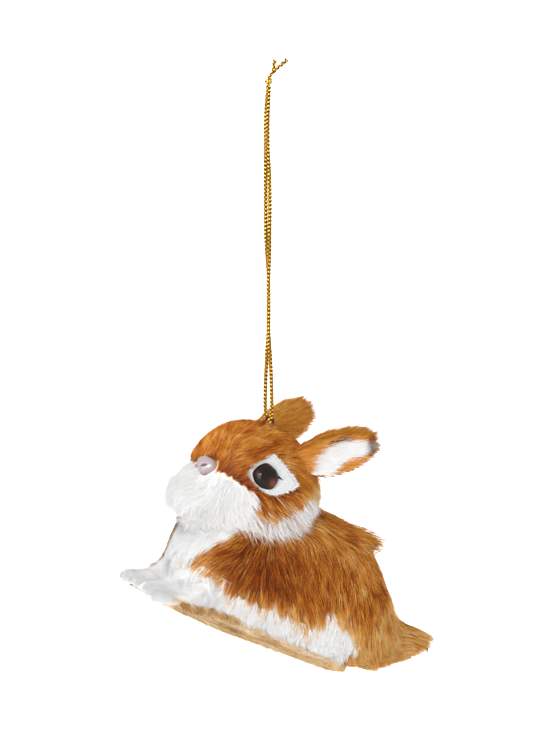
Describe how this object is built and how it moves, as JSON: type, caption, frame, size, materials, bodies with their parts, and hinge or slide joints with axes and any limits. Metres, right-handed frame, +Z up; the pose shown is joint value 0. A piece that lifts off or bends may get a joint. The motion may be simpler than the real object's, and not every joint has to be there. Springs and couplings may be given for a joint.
{
  "type": "hanging rabbit ornament",
  "caption": "Small fur-covered crouching rabbit figure with swept-back ears, hung nose-up from a screw eye on a doubled gold cord loop with a knot.",
  "frame": {"origin": "top of the cord loop, where the hook goes, just under the knot", "axes": "+Z up as it hangs, -X towards the nose, -Y towards the rabbit's left side"},
  "size_m": [0.0787, 0.0349, 0.1591],
  "materials": {
    "brown_fur": "matte",
    "white_fur": "matte",
    "tan_hide": "matte",
    "pressed_core": "matte",
    "dowel": "matte",
    "gold_cord": "satin",
    "bronze": "satin",
    "felt": "matte",
    "eye_plastic": "gloss",
    "nose_plastic": "satin"
  },
  "bodies": {
    "knot": {"cord_knot": "gold_cord", "cord_end_front": "gold_cord", "cord_end_back": "gold_cord"},
    "loop": {"hanging_cord": "gold_cord"},
    "rabbit": {"screw_eye": "bronze", "head_core": "pressed_core", "body_core": "pressed_core", "neck_peg": "dowel", "base_pad": "tan_hide", "eye_rim_left": "felt", "eye_rim_right": "felt", "eye_left": "eye_plastic", "eye_right": "eye_plastic", "nose": "nose_plastic", "crown_fur": "brown_fur", "cheek_fur_left": "brown_fur", "cheek_fur_right": "brown_fur", "saddle_fur": "brown_fur", "rump_fur": "brown_fur", "tail_fur": "brown_fur", "ear_left_back": "brown_fur", "ear_right_back": "brown_fur", "muzzle_fur": "white_fur", "neck_ruff": "white_fur", "chest_fur": "white_fur", "flank_fur_left": "white_fur", "flank_fur_right": "white_fur", "front_paw_left": "white_fur", "front_paw_right": "white_fur", "ear_left_lining": "white_fur", "ear_right_lining": "white_fur"}
  },
  "joints": [
    {"name": "loop_swing", "type": "hinge", "parent": "knot", "child": "loop", "pos_m": [0, 0, 0], "axis": [1, 0, 0], "range_deg": [-50, 50]},
    {"name": "ring_rock", "type": "hinge", "parent": "loop", "child": "rabbit", "pos_m": [0, 0, -0.083], "axis": [0, 1, 0], "range_deg": [-50, 50]}
  ]
}
